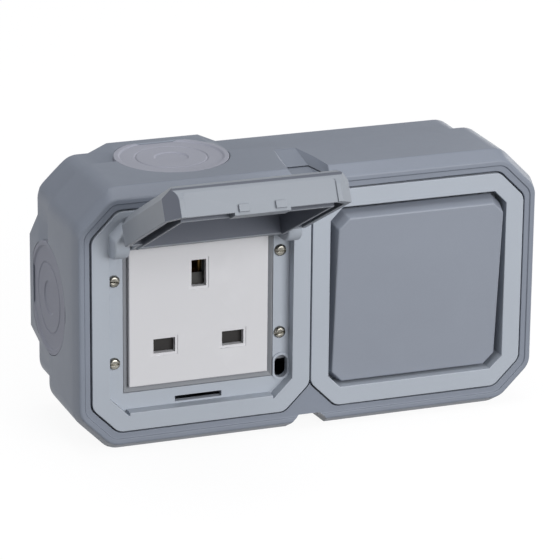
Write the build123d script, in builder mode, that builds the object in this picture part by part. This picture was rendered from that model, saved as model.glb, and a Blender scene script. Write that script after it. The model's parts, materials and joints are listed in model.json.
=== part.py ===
from build123d import *
import os
from math import atan2, cos, degrees, radians, sin

# Weatherproof surface box with two gangs: a 13 A socket under a hinged lid, and a rocker switch.
# Millimetres. The wall is the plane Y = 0, the front looks along -Y, +Z is up, and X = 0 lies
# between the gangs. Depths are given as heights above the wall.

os.makedirs("parts", exist_ok=True)

# Box
gang_pitch = 71.0
box_margin_x = 5.05
box_margin_z = 6.85
box_corner = 11.5
box_corner_round = 7.0
box_wall = 2.4
back_wall = 2.5
band_height = 20.0
band_step = 2.7
front_height = 48.5
fold_drop = 4.5
rim_inset_x = 1.1
rim_inset_z = 2.8
rim_corner = 10.0
rim_corner_round = 6.0
rim_edge_round = 0.9
lip_width = 1.7
lip_step = 0.4
deck_thickness = 2.2
notch_mouth = 11.4
notch_floor = 7.0
notch_depth = 2.3
notch_length = 25.0

# Wall fixings
fixing_inset_x = 21.8
fixing_inset_z = 10.6
fixing_radius = 2.6
fixing_sleeve = 5.0
fixing_sleeve_height = 3.0

# Cable entries
entry_height = 19.1
entry_radius = 18.0
entry_flat_height = 3.9
entry_boss_flat = 30.0
entry_boss_foot = 42.0
grommet_clearance = 0.12
grommet_flange = 1.9
grommet_flange_thickness = 1.5
grommet_relief = 0.6
grommet_hub = 5.0
grommet_hub_sink = 0.9
grommet_web_sink = 0.5
grommet_step = 0.4
grommet_ring = 11.2
grommet_ring_groove = 0.35
grommet_web_back = 2.0

# Front frames, one for each gang
frame_half = 35.25
frame_corner = 8.3
frame_round = 4.0
frame_gap = 0.5
frame_flange = 2.7
seal_thickness = 0.6
seal_clearance = 0.3
deck_opening_half = 32.6
deck_opening_corner = 6.5
tub_wall = 1.8

# Socket gang: recess round the plate
recess_half_x = 29.6
recess_top = 29.5
recess_bottom = 30.4
recess_corner = 6.0
tub_corner = 6.0
shoulder_clearance = 0.3
recess_depth = 3.8
recess_floor_thickness = 2.0
window_half = 24.3
bottom_lip = 0.9
bottom_lip_half = 23.3
latch_slot_length = 15.2
latch_slot_width = 1.8
latch_slot_z = -28.0
drain_x = 27.0
drain_z = -21.4
drain_width = 4.3
drain_length = 7.4
drain_rim = 0.8
drain_rim_height = 0.4

# Frame screws, placed from the gang's centre
socket_screws = [(-27.2, 12.3), (-27.2, -14.2), (26.5, 16.6), (26.5, -10.1)]
switch_screw_offset = 24.3
screw_radius = 1.45
screw_length = 11.0
screw_head_radius = 1.9
screw_head_height = 1.1
screw_head_slope = 18
screw_slot_width = 0.6
screw_slot_depth = 0.6
screw_clearance = 0.25
pilot_clearance = 0.05
post_radius = 2.8
post_bore_depth = 12.0

# Socket mechanism
carrier_flange = 1.7
carrier_flange_half_x = 30.2
carrier_flange_half_z = 19.6
carrier_border_drop = 0.1
carrier_border_slope = 1.0
carrier_clearance = 0.2
plate_half = 22.5
plate_proud = 0.5
plate_clearance = 0.15
plate_front = 2.2
plate_wall = 1.1
plate_skirt = 6.2
plate_edge_round = 0.4
pin_spacing = 22.2
line_pin_z = -10.1
line_slot = (7.0, 4.6)
earth_slot = (4.7, 8.5)
slot_border = 0.8
slot_border_depth = 0.25
base_depth = 26.0
base_clearance = 0.1

# Shutter
shutter_travel = 5.8
shutter_thickness = 1.5
shutter_gap = 0.15
shutter_back_gap = 0.45
shutter_wing_half = 15.5
shutter_wing_top = -7.0
shutter_wing_bottom = -13.6
shutter_fork_outer = 4.6
shutter_fork_inner = 2.75
shutter_fork_top = 20.3
shutter_ramp_top = 11.2
shutter_ramp_bottom = 6.4
shutter_rail = 1.3
shutter_rail_clearance = 0.25
spring_slot_half = 1.6
spring_slot_top = 5.0
spring_post_top = -6.0
spring_post_length = 2.0
spring_post_half = 1.2
shutter_spring_radius = 1.0
shutter_spring_wire = 0.17
shutter_spring_turns = 6
spring_end_gap = 0.2
spring_runs = 10

# Contacts of the socket
strip = 0.8
line_grip = 3.6
line_clip_width = 6.0
earth_grip = 3.6
earth_clip_width = 7.6
clip_length = 15.0
clip_gap = 0.35
terminal_block = (7.0, 6.0, 7.0)
terminal_bore = 1.9
terminal_screw_radius = 1.5
terminal_screw_length = 2.7
terminal_screw_head = 2.2

# Lid of the socket gang, open at its stop. Heights in the lid are taken from the hinge axis.
hinge_rise = 1.8
hinge_z = 26.7
lid_rise = 27.5
lid_reach = 55.3
lid_half = 28.7
lid_corner = 4.0
lid_depth = 10.0
lid_rim_drop = 3.3
lid_wall = 1.6
lid_bevel_in = 3.6
lid_bevel_down = 3.4
lid_pan_end = 9.8
lid_pan_round = 5.0
lid_neck_half = 24.9
lid_bar = 4.2
lid_knuckle = 3.0
lid_stop_clearance = 0.3
lid_rib_half = 23.6
lid_rib = 0.8
lid_rib_proud = 0.5
lid_panel_border = 1.4
lid_panel_depth = 0.5
latch_block_half = 8.6
latch_block_drop = 0.9
latch_block_setback = 0.2
clip_lug_x = 5.65
clip_lug_width = 3.3
clip_lug_height = 2.2
clip_lug_depth = 0.8
clip_lug_round = 0.3
lid_seal_gap = 0.35
lid_seal_lift = 2.5
shoulder_inner = 25.2
shoulder_outer = 29.9
shoulder_radius = 5.25
pin_radius = 1.0
pin_clearance = 0.05
pin_press = 0.02
pin_inner = 20.5
pin_outer = 28.9

# Switch gang
switch_opening_half = 29.4
switch_opening_corner = 4.0
switch_depth = 9.2
switch_floor_thickness = 2.0
switch_window_half = 19.5
rocker_tilt = 5.0
pivot_depth = 11.9
rocker_face_height = 12.0
rocker_base_half = 28.7
rocker_face_half = 27.5
rocker_corner = 3.6
rocker_depth = 6.0
rocker_wall = 1.7
cradle_half_x = 15.0
cradle_half_z = 9.0
cradle_front = 5.0
cradle_thickness = 2.0
cradle_cheek = 2.0
cradle_cheek_radius = 4.0
trunnion_radius = 2.0
trunnion_clearance = 0.05
trunnion_outer = 18.4
rocker_post_half = 2.5
rocker_post_x = 11.0
rocker_post_z = 6.0
ear_inner = 16.0
ear_outer = 18.8
ear_half_z = 4.5
ear_rise = 4.4
ear_drop = 4.6
switch_carrier_opening = 17.4
switch_carrier_half = 27.4
switch_carrier_flange = 1.7
plunger_tube_radius = 3.2
plunger_tube_length = 11.0
plunger_bore = 1.9
plunger_bore_length = 12.5
plunger_radius = 1.75
plunger_tip = 15.3
plunger_tip_bevel = 1.0
plunger_length = 8.15
plunger_spring_radius = 1.3
plunger_spring_wire = 0.22
plunger_spring_turns = 5

# Contacts of the switch
seesaw_gap = 0.3
seesaw_ratio = 0.8
seesaw_half_length = 12.0
seesaw_width = 6.0
seesaw_thickness = 0.8
seesaw_roll = 0.8
seesaw_clearance = 0.06
tip_radius = 1.6
tip_thickness = 0.8
tip_offset = 10.0
contact_gap = 0.15
switch_base_half = 21.0
switch_base_back = 8.0
switch_base_wall = 1.8
saddle_half = 2.6

# Worked out from the driving sizes
socket_x = -gang_pitch / 2
switch_x = gang_pitch / 2
box_half_x = gang_pitch / 2 + frame_half + box_margin_x
box_half_z = frame_half + box_margin_z
rim_half_x = box_half_x - rim_inset_x
rim_half_z = box_half_z - rim_inset_z
fixing_x = box_half_x - fixing_inset_x
fixing_z = box_half_z - fixing_inset_z
fold_height = front_height - fold_drop
recess_floor = front_height - recess_depth
plate_height = recess_floor + plate_proud
carrier_border_height = recess_floor - carrier_border_drop
hinge_height = front_height + hinge_rise
switch_floor = front_height - switch_depth
pivot_height = front_height - pivot_depth
seesaw_height = pivot_height - plunger_tip - seesaw_gap - seesaw_thickness
seal_top = front_height - frame_flange
pocket_floor = seal_top - seal_thickness
deck_bottom = pocket_floor - deck_thickness
tub_bottom = recess_floor - recess_floor_thickness
socket_post_top = tub_bottom - carrier_flange
switch_tub_bottom = switch_floor - switch_floor_thickness
switch_post_top = switch_tub_bottom - switch_carrier_flange
plate_back = plate_height - plate_front
shutter_front = plate_back - shutter_gap
shutter_back = shutter_front - shutter_thickness
base_front = shutter_back - shutter_back_gap
earth_pin_z = line_pin_z + pin_spacing
switch_screws = [(x, z) for x in (-switch_screw_offset, switch_screw_offset)
                 for z in (-switch_screw_offset, switch_screw_offset)]


def level(height):
    """Plane parallel to the wall at this height above it: its x is X, its y is Z, it faces the front."""
    return Plane.XZ.offset(height)


def cut_corner_shape(half_width, half_height, corner, rounding=0.0):
    """Rectangle with its corners cut off at 45 degrees, the new corners rounded."""
    with BuildSketch(Plane.XY, mode=Mode.PRIVATE) as shape:
        Rectangle(2 * half_width, 2 * half_height)
        chamfer(shape.vertices(), corner)
        if rounding:
            fillet(shape.vertices(), rounding)
    return shape.sketch


def slotted_screw(places, seat_height, length, shaft, head, head_height):
    """Round-headed screws with a level slot, driven towards the wall at these places."""
    with BuildPart() as screws:
        for x, z in places:
            with BuildSketch(level(seat_height)):
                with Locations((x, z)):
                    Circle(shaft)
            extrude(amount=-length)
            with BuildSketch(level(seat_height)):
                with Locations((x, z)):
                    Circle(head)
            extrude(amount=head_height, taper=screw_head_slope)
            with BuildSketch(level(seat_height + head_height)):
                with Locations((x, z)):
                    Rectangle(3 * head, screw_slot_width)
            extrude(amount=-screw_slot_depth, mode=Mode.SUBTRACT)
    return screws.part


def coil_spring(start, direction, radius, wire, turns, length):
    """Compression spring of short straight runs, that stands on start and runs along direction."""
    path = Helix(pitch=length / turns, height=length, radius=radius, center=start, direction=direction,
                 mode=Mode.PRIVATE)
    axis = Axis(start, direction)
    with BuildPart() as spring:
        for step in range(turns * spring_runs + 1):
            place = path @ (step / (turns * spring_runs))
            foot = axis.position + axis.direction * (place - axis.position).dot(axis.direction)
            with BuildSketch(Plane(origin=place, x_dir=place - foot, z_dir=path % (step / (turns * spring_runs)))):
                Rectangle(2 * wire, 2 * wire)
        loft(ruled=True)
    return spring.part


def save(part, name):
    """Labels a finished piece and writes it."""
    part.label = name
    export_step(part, f"parts/{name}.step")


# Box: a band against the wall, full walls in front of it, a bevel and a rounded rim
side_entry = Plane(origin=(-box_half_x, -entry_height, 0), x_dir=(0, -1, 0), z_dir=(-1, 0, 0))
top_entry = Plane(origin=(socket_x, -entry_height, box_half_z), x_dir=(0, -1, 0), z_dir=(0, 0, 1))
entry_flat = entry_flat_height - entry_height
band_half_x = box_half_x - band_step
band_half_z = box_half_z - band_step


def entry_shape(radius, flat):
    """Round cable entry with a flat towards the wall, drawn on the plane of an entry."""
    with BuildSketch(Plane.XY, mode=Mode.PRIVATE) as shape:
        Circle(radius)
        with Locations((flat + radius, 0)):
            Rectangle(2 * radius, 2 * radius, mode=Mode.INTERSECT)
    return shape.sketch


with BuildPart() as back_box:
    with BuildSketch(level(0)):
        add(cut_corner_shape(band_half_x, band_half_z, box_corner - band_step / 2, box_corner_round))
    extrude(amount=band_height)
    with BuildSketch(level(0)):
        Polygon(
            (-band_half_x + box_wall, -entry_boss_foot / 2), (-band_half_x, -entry_boss_foot / 2),
            (-box_half_x, -entry_boss_flat / 2), (-box_half_x, entry_boss_flat / 2),
            (-band_half_x, entry_boss_foot / 2), (-band_half_x + box_wall, entry_boss_foot / 2),
            align=None)
        with Locations((socket_x, 0)):
            Polygon(
                (-entry_boss_foot / 2, band_half_z - box_wall), (-entry_boss_foot / 2, band_half_z),
                (-entry_boss_flat / 2, box_half_z), (entry_boss_flat / 2, box_half_z),
                (entry_boss_foot / 2, band_half_z), (entry_boss_foot / 2, band_half_z - box_wall),
                align=None)
    extrude(amount=band_height)
    with BuildSketch(level(band_height)):
        add(cut_corner_shape(box_half_x, box_half_z, box_corner, box_corner_round))
    extrude(amount=fold_height - band_height)
    with BuildSketch(level(fold_height)):
        add(cut_corner_shape(box_half_x, box_half_z, box_corner, box_corner_round))
    with BuildSketch(level(front_height)):
        add(cut_corner_shape(rim_half_x, rim_half_z, rim_corner, rim_corner_round))
    loft(ruled=True)
    fillet(back_box.faces().sort_by(Axis.Y)[0].edges(), rim_edge_round)
    with BuildSketch(level(front_height)):
        add(cut_corner_shape(rim_half_x - lip_width, rim_half_z - lip_width, rim_corner - lip_width / 2,
                             rim_corner_round - lip_width))
    extrude(amount=-lip_step, mode=Mode.SUBTRACT)
    # pockets and openings for the two frames
    for gang in (socket_x, switch_x):
        with BuildSketch(level(pocket_floor)):
            with Locations((gang, 0)):
                add(cut_corner_shape(frame_half + frame_gap, frame_half + frame_gap,
                                     frame_corner + frame_gap / 2, frame_round))
        extrude(amount=front_height, mode=Mode.SUBTRACT)
        with BuildSketch(level(deck_bottom)):
            with Locations((gang, 0)):
                add(cut_corner_shape(deck_opening_half, deck_opening_half, deck_opening_corner))
        extrude(amount=front_height, mode=Mode.SUBTRACT)
    # hollow
    with BuildSketch(level(back_wall)):
        add(cut_corner_shape(band_half_x - box_wall, band_half_z - box_wall, box_corner - band_step / 2,
                             box_corner_round - box_wall))
    extrude(amount=band_height - back_wall, mode=Mode.SUBTRACT)
    with BuildSketch(level(band_height)):
        add(cut_corner_shape(box_half_x - box_wall, box_half_z - box_wall, box_corner, box_corner_round - box_wall))
    extrude(amount=deck_bottom - band_height, mode=Mode.SUBTRACT)
    # channels between the gangs, in the top and bottom walls, that fade out towards the wall
    for side in (1, -1):
        with BuildSketch(level(front_height - notch_length)):
            with Locations((0, side * (rim_half_z - notch_depth - box_wall))):
                Rectangle(notch_mouth + 2 * box_wall, notch_depth + box_wall,
                          align=(Align.CENTER, Align.MIN if side > 0 else Align.MAX))
        extrude(amount=notch_length - front_height + deck_bottom)
        with BuildSketch(level(front_height)):
            Polygon(
                (-notch_mouth / 2 - notch_depth, side * (box_half_z + notch_depth)),
                (notch_mouth / 2 + notch_depth, side * (box_half_z + notch_depth)),
                (notch_mouth / 2, side * rim_half_z), (notch_floor / 2, side * (rim_half_z - notch_depth)),
                (-notch_floor / 2, side * (rim_half_z - notch_depth)), (-notch_mouth / 2, side * rim_half_z),
                align=None)
        extrude(amount=notch_length, dir=(0, 1, side * (box_half_z - rim_half_z + notch_depth) / notch_length),
                mode=Mode.SUBTRACT)
    for entry in (side_entry, top_entry):
        with BuildSketch(entry):
            add(entry_shape(entry_radius, entry_flat))
        extrude(amount=-2 * box_wall, mode=Mode.SUBTRACT)
        with BuildSketch(entry.offset(-box_wall)):
            add(entry_shape(entry_radius + grommet_flange + grommet_relief, back_wall - entry_height))
        extrude(amount=-2 * box_wall, mode=Mode.SUBTRACT)
    # posts for the frame screws and sleeves round the wall fixings
    with BuildSketch(level(back_wall / 2)):
        with Locations(*[(socket_x + x, z) for x, z in socket_screws]):
            Circle(post_radius)
    extrude(amount=socket_post_top - back_wall / 2)
    with BuildSketch(level(back_wall / 2)):
        with Locations(*[(switch_x + x, z) for x, z in switch_screws]):
            Circle(post_radius)
    extrude(amount=switch_post_top - back_wall / 2)
    with BuildSketch(level(back_wall / 2)):
        with GridLocations(2 * fixing_x, 2 * fixing_z, 2, 2):
            Circle(fixing_sleeve)
    extrude(amount=back_wall / 2 + fixing_sleeve_height)
    with BuildSketch(level(0)):
        with GridLocations(2 * fixing_x, 2 * fixing_z, 2, 2):
            Circle(fixing_radius)
    extrude(amount=back_wall + fixing_sleeve_height, mode=Mode.SUBTRACT)
    with BuildSketch(level(socket_post_top)):
        with Locations(*[(socket_x + x, z) for x, z in socket_screws]):
            Circle(screw_radius + pilot_clearance)
    extrude(amount=-post_bore_depth, mode=Mode.SUBTRACT)
    with BuildSketch(level(switch_post_top)):
        with Locations(*[(switch_x + x, z) for x, z in switch_screws]):
            Circle(screw_radius + pilot_clearance)
    extrude(amount=-post_bore_depth, mode=Mode.SUBTRACT)
save(back_box.part, "back_box")


# Cable entry grommets: a dished membrane in the wall and a flange behind it
def entry_grommet(entry):
    disc = entry_radius - grommet_clearance
    back = box_wall + grommet_flange_thickness
    with BuildPart() as grommet:
        with BuildSketch(Plane(origin=entry.origin, x_dir=entry.x_dir, z_dir=entry.y_dir)):
            Polygon(
                (0, grommet_hub_sink), (grommet_hub, grommet_hub_sink),
                (grommet_hub + grommet_step, grommet_web_sink), (grommet_ring - grommet_step, grommet_web_sink),
                (grommet_ring, grommet_web_sink + grommet_ring_groove),
                (grommet_ring + grommet_step, grommet_web_sink),
                (disc - grommet_flange, grommet_web_sink), (disc - grommet_flange + grommet_web_sink, 0), (disc, 0),
                (disc, box_wall), (disc + grommet_flange, box_wall), (disc + grommet_flange, back),
                (disc - grommet_flange, back), (disc - grommet_flange, grommet_web_back), (0, grommet_web_back),
                align=None)
        revolve(axis=Axis(entry.origin, entry.z_dir))
        split(bisect_by=level(entry_flat_height + grommet_clearance), keep=Keep.TOP)
    return grommet.part


save(entry_grommet(top_entry), "top_entry_grommet")
save(entry_grommet(side_entry), "side_entry_grommet")

# Frame seals: flat rings between the pocket floor and the frame's flange
for gang, name in ((socket_x, "socket_frame_seal"), (switch_x, "switch_frame_seal")):
    with BuildPart() as frame_seal:
        with BuildSketch(level(pocket_floor)):
            with Locations((gang, 0)):
                add(cut_corner_shape(frame_half - seal_clearance, frame_half - seal_clearance, frame_corner,
                                     frame_round))
                add(cut_corner_shape(deck_opening_half, deck_opening_half, deck_opening_corner),
                    mode=Mode.SUBTRACT)
        extrude(amount=seal_thickness)
    save(frame_seal.part, name)

# Socket frame: a ring with a sunken recess, and two shoulders that carry the lid
recess_middle = (recess_top - recess_bottom) / 2
recess_half_z = (recess_top + recess_bottom) / 2
side_view = Plane(origin=(socket_x, 0, 0), x_dir=(0, -1, 0), z_dir=(-1, 0, 0))


def hinge_shoulders():
    """Humps that stand in the recess's upper corners, their outer corners cut along the frame's."""
    with BuildPart(mode=Mode.PRIVATE) as shoulders:
        for side in (-1, 1):
            with BuildSketch(side_view.offset(side * (shoulder_inner + shoulder_outer) / 2)):
                with Locations((hinge_height, hinge_z)):
                    Circle(shoulder_radius)
                with Locations((tub_bottom, hinge_z)):
                    Rectangle(hinge_height - tub_bottom, 2 * shoulder_radius, align=(Align.MIN, Align.CENTER))
            extrude(amount=(shoulder_outer - shoulder_inner) / 2, both=True)
        with BuildSketch(level(tub_bottom)):
            with Locations((socket_x, 0)):
                add(cut_corner_shape(deck_opening_half - shoulder_clearance,
                                     deck_opening_half - shoulder_clearance, deck_opening_corner))
        extrude(amount=front_height, mode=Mode.INTERSECT)
    return shoulders.part


with BuildPart() as socket_frame:
    with BuildSketch(level(seal_top)):
        with Locations((socket_x, 0)):
            add(cut_corner_shape(frame_half, frame_half, frame_corner, frame_round))
    extrude(amount=frame_flange)
    with BuildSketch(level(tub_bottom)):
        with Locations((socket_x, recess_middle)):
            add(cut_corner_shape(recess_half_x + tub_wall, recess_half_z + tub_wall, tub_corner))
    extrude(amount=front_height - tub_bottom)
    with BuildSketch(level(recess_floor)):
        with Locations((socket_x, recess_middle)):
            add(cut_corner_shape(recess_half_x, recess_half_z, recess_corner))
        with Locations((socket_x, recess_top)):
            Rectangle(2 * shoulder_inner, recess_top, align=(Align.CENTER, Align.MAX))
    extrude(amount=front_height, mode=Mode.SUBTRACT)
    with BuildSketch(level(recess_floor)):
        with Locations((socket_x, -recess_bottom)):
            Rectangle(2 * bottom_lip_half, bottom_lip, align=(Align.CENTER, Align.MIN))
    extrude(amount=front_height - recess_floor)
    add(hinge_shoulders())
    for side in (-1, 1):
        with BuildSketch(side_view.offset(side * shoulder_inner)):
            with Locations((hinge_height, hinge_z)):
                Circle(pin_radius + pin_press)
        extrude(amount=side * (pin_outer - shoulder_inner + pin_press), mode=Mode.SUBTRACT)
    with BuildSketch(level(recess_floor)):
        with Locations((socket_x + drain_x, drain_z)):
            SlotOverall(drain_length + 2 * drain_rim, drain_width + 2 * drain_rim, rotation=90)
    extrude(amount=drain_rim_height)
    with BuildSketch(level(tub_bottom)):
        with Locations((socket_x, 0)):
            Rectangle(2 * window_half, 2 * window_half)
        with Locations((socket_x, latch_slot_z)):
            Rectangle(latch_slot_length, latch_slot_width)
        with Locations((socket_x + drain_x, drain_z)):
            SlotOverall(drain_length, drain_width, rotation=90)
        with Locations(*[(socket_x + x, z) for x, z in socket_screws]):
            Circle(screw_radius + screw_clearance)
    extrude(amount=recess_floor - tub_bottom + drain_rim_height, mode=Mode.SUBTRACT)
save(socket_frame.part, "socket_frame")

# Switch frame: the same ring round a deeper opening
with BuildPart() as switch_frame:
    with BuildSketch(level(seal_top)):
        with Locations((switch_x, 0)):
            add(cut_corner_shape(frame_half, frame_half, frame_corner, frame_round))
    extrude(amount=frame_flange)
    with BuildSketch(level(switch_tub_bottom)):
        with Locations((switch_x, 0)):
            add(cut_corner_shape(switch_opening_half + tub_wall, switch_opening_half + tub_wall,
                                 switch_opening_corner + tub_wall / 2))
    extrude(amount=front_height - switch_tub_bottom)
    with BuildSketch(level(switch_floor)):
        with Locations((switch_x, 0)):
            add(cut_corner_shape(switch_opening_half, switch_opening_half, switch_opening_corner))
    extrude(amount=front_height, mode=Mode.SUBTRACT)
    with BuildSketch(level(switch_tub_bottom)):
        with Locations((switch_x, 0)):
            Rectangle(2 * switch_window_half, 2 * switch_window_half)
        with Locations(*[(switch_x + x, z) for x, z in switch_screws]):
            Circle(screw_radius + screw_clearance)
    extrude(amount=switch_floor_thickness, mode=Mode.SUBTRACT)
save(switch_frame.part, "switch_frame")

# Frame screws
save(slotted_screw([(socket_x + x, z) for x, z in socket_screws], recess_floor, screw_length,
                   screw_radius, screw_head_radius, screw_head_height), "socket_frame_screws")
save(slotted_screw([(switch_x + x, z) for x, z in switch_screws], switch_floor, screw_length,
                   screw_radius, screw_head_radius, screw_head_height), "switch_frame_screws")

# Socket carrier: flange clamped between the frame and the posts, and the border round the plate
plate_window = plate_half + plate_clearance
border_half = window_half - 2 * carrier_clearance

with BuildPart() as socket_carrier:
    with BuildSketch(level(socket_post_top)):
        with Locations((socket_x, 0)):
            Rectangle(2 * carrier_flange_half_x, 2 * carrier_flange_half_z)
            Rectangle(2 * (window_half - carrier_clearance), 2 * (window_half - carrier_clearance))
            Rectangle(2 * plate_window, 2 * plate_window, mode=Mode.SUBTRACT)
        with Locations(*[(socket_x + x, z) for x, z in socket_screws]):
            Circle(screw_radius + screw_clearance, mode=Mode.SUBTRACT)
    extrude(amount=carrier_flange)
    with BuildSketch(level(socket_post_top)):
        with Locations((socket_x, 0)):
            Rectangle(2 * (window_half - carrier_clearance), 2 * (window_half - carrier_clearance))
            Rectangle(2 * plate_window, 2 * plate_window, mode=Mode.SUBTRACT)
    extrude(amount=carrier_border_height - socket_post_top)
    with BuildSketch(level(carrier_border_height)):
        with Locations((socket_x, 0)):
            Rectangle(2 * border_half, 2 * border_half)
    extrude(amount=-carrier_border_slope, mode=Mode.SUBTRACT,
            taper=degrees(atan2(border_half - plate_window, carrier_border_slope)))
save(socket_carrier.part, "socket_carrier")

# Socket plate: a white cap with three slots for the plug's pins
line_places = [(socket_x - pin_spacing / 2, line_pin_z), (socket_x + pin_spacing / 2, line_pin_z)]
earth_place = (socket_x, earth_pin_z)

with BuildPart() as socket_plate:
    with BuildSketch(level(plate_height - plate_skirt)):
        with Locations((socket_x, 0)):
            Rectangle(2 * plate_half, 2 * plate_half)
    extrude(amount=plate_skirt)
    fillet(socket_plate.faces().sort_by(Axis.Y)[0].edges(), plate_edge_round)
    with BuildSketch(level(plate_height - plate_skirt)):
        with Locations((socket_x, 0)):
            Rectangle(2 * (plate_half - plate_wall), 2 * (plate_half - plate_wall))
    extrude(amount=plate_skirt - plate_front, mode=Mode.SUBTRACT)
    with BuildSketch(level(plate_back)):
        with Locations(*line_places):
            Rectangle(*line_slot)
        with Locations(earth_place):
            Rectangle(*earth_slot)
    extrude(amount=plate_front, mode=Mode.SUBTRACT)
    with BuildSketch(level(plate_height)):
        with Locations(*line_places):
            Rectangle(line_slot[0] + 2 * slot_border, line_slot[1] + 2 * slot_border)
        with Locations(earth_place):
            Rectangle(earth_slot[0] + 2 * slot_border, earth_slot[1] + 2 * slot_border)
    extrude(amount=-slot_border_depth, mode=Mode.SUBTRACT)
save(socket_plate.part, "socket_plate")

# Shutter: a wing behind the two lower slots and a fork with a ramp behind the earth slot
with BuildPart() as shutter:
    with BuildSketch(level(shutter_back)):
        with Locations((socket_x, shutter_wing_bottom)):
            Rectangle(2 * shutter_wing_half, shutter_wing_top - shutter_wing_bottom,
                      align=(Align.CENTER, Align.MIN))
        with Locations((socket_x, shutter_wing_top)):
            Rectangle(2 * shutter_fork_outer, shutter_fork_top - shutter_wing_top,
                      align=(Align.CENTER, Align.MIN))
        with Locations((socket_x, shutter_ramp_bottom)):
            Rectangle(2 * shutter_fork_inner, shutter_fork_top, align=(Align.CENTER, Align.MIN),
                      mode=Mode.SUBTRACT)
        with Locations((socket_x, spring_slot_top)):
            Rectangle(2 * spring_slot_half, spring_slot_top - spring_post_top + spring_post_length + shutter_rail,
                      align=(Align.CENTER, Align.MAX), mode=Mode.SUBTRACT)
    extrude(amount=shutter_thickness)
    with BuildSketch(side_view):
        Polygon((shutter_back, shutter_ramp_bottom), (shutter_front, shutter_ramp_bottom),
                (shutter_back, shutter_ramp_top), align=None)
    extrude(amount=shutter_fork_inner, both=True)
save(shutter.part, "shutter")

# Socket base: the block behind the plate that holds the contacts
base_half = plate_half - plate_wall - base_clearance
base_back = base_front - base_depth
clip_front = base_front - clip_gap
pocket_clearance = 0.5

with BuildPart() as socket_base:
    with BuildSketch(level(base_back)):
        with Locations((socket_x, 0)):
            Rectangle(2 * base_half, 2 * base_half)
    extrude(amount=base_depth)
    # rails that guide the shutter's fork, and the groove and post of its spring
    with BuildSketch(level(base_front)):
        for side in (-1, 1):
            with Locations((socket_x + side * (shutter_fork_outer + shutter_rail_clearance + shutter_rail / 2), 0)):
                Rectangle(shutter_rail, shutter_fork_outer * 2, align=(Align.CENTER, Align.MIN))
    extrude(amount=plate_back - base_front - shutter_gap)
    with BuildSketch(level(base_front)):
        with Locations((socket_x, spring_slot_top)):
            Rectangle(2 * spring_slot_half, spring_slot_top - spring_post_top, align=(Align.CENTER, Align.MAX))
    extrude(amount=-shutter_thickness, mode=Mode.SUBTRACT)
    with BuildSketch(level(base_front)):
        with Locations((socket_x, spring_post_top)):
            Rectangle(2 * spring_post_half, spring_post_length, align=(Align.CENTER, Align.MAX))
    extrude(amount=plate_back - base_front - shutter_gap)
    # pockets for the clips of the contacts, open at the back
    with BuildSketch(level(base_front)):
        with Locations(*line_places):
            Rectangle(line_slot[0], line_slot[1])
        with Locations(earth_place):
            Rectangle(earth_slot[0], earth_slot[1])
    extrude(amount=-base_depth, mode=Mode.SUBTRACT)
    with BuildSketch(level(base_back)):
        with Locations(*line_places):
            Rectangle(line_clip_width + 2 * pocket_clearance,
                      line_grip + 2 * strip + 2 * pocket_clearance)
        with Locations(earth_place):
            Rectangle(earth_grip + 2 * strip + 2 * pocket_clearance,
                      earth_clip_width + 2 * pocket_clearance)
    extrude(amount=clip_front + pocket_clearance / 2 - base_back - strip, mode=Mode.SUBTRACT)
save(socket_base.part, "socket_base")


# Contacts: a folded clip that grips the pin, with a terminal block at its back end
def pin_contact(place, grip, width, upright):
    block_width, block_height, block_length = terminal_block
    back = clip_front - 2 * strip - clip_length
    with BuildPart() as contact:
        with BuildSketch(level(back)):
            with Locations(Location((place[0], place[1], 0), (0, 0, 90 if upright else 0))):
                Rectangle(width, grip + 2 * strip)
                Rectangle(width, grip, mode=Mode.SUBTRACT)
        extrude(amount=clip_length)
        with BuildSketch(level(back)):
            with Locations(Location((place[0], place[1], 0), (0, 0, 90 if upright else 0))):
                Rectangle(width, grip + 2 * strip)
        extrude(amount=-strip)
        with BuildSketch(level(back - strip)):
            with Locations(Location((place[0], place[1], 0), (0, 0, 90 if upright else 0))):
                Rectangle(block_width, block_height)
        extrude(amount=-block_length)
        with BuildSketch(Plane(origin=(place[0], -(back - strip - block_length / 2), place[1]),
                               x_dir=(1, 0, 0), z_dir=(0, 0, 1))):
            Circle(terminal_bore)
        extrude(amount=block_height, both=True, mode=Mode.SUBTRACT)
        with BuildSketch(level(back - strip - block_length)):
            with Locations(place):
                Circle(terminal_screw_radius + pilot_clearance)
        extrude(amount=block_length / 2, mode=Mode.SUBTRACT)
    return contact.part


save(pin_contact(line_places[1], line_grip, line_clip_width, False), "line_contact")
save(pin_contact(line_places[0], line_grip, line_clip_width, False), "neutral_contact")
save(pin_contact(earth_place, earth_grip, earth_clip_width, True), "earth_contact")

# Terminal screws of the socket, driven from the back
terminal_face = clip_front - 3 * strip - clip_length - terminal_block[2]


def terminal_screws(places, face_height):
    with BuildPart() as screws:
        for x, z in places:
            with BuildSketch(level(face_height)):
                with Locations((x, z)):
                    Circle(terminal_screw_radius)
            extrude(amount=terminal_screw_length)
            with BuildSketch(level(face_height)):
                with Locations((x, z)):
                    Circle(terminal_screw_head)
                    Rectangle(3 * terminal_screw_head, screw_slot_width, mode=Mode.SUBTRACT)
            extrude(amount=-screw_head_height)
            with BuildSketch(level(face_height)):
                with Locations((x, z)):
                    Circle(terminal_screw_head)
            extrude(amount=-(screw_head_height - screw_slot_depth))
    return screws.part


save(terminal_screws(line_places + [earth_place], terminal_face), "socket_terminal_screws")

# Spring of the shutter, between the post on the base and the end of the shutter's slot
spring_height = (base_front - shutter_thickness + plate_back) / 2
save(coil_spring((socket_x, -spring_height, spring_post_top + spring_end_gap), (0, 0, 1),
                 shutter_spring_radius, shutter_spring_wire, shutter_spring_turns,
                 spring_slot_top - spring_post_top - 2 * spring_end_gap), "shutter_spring")

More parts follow.
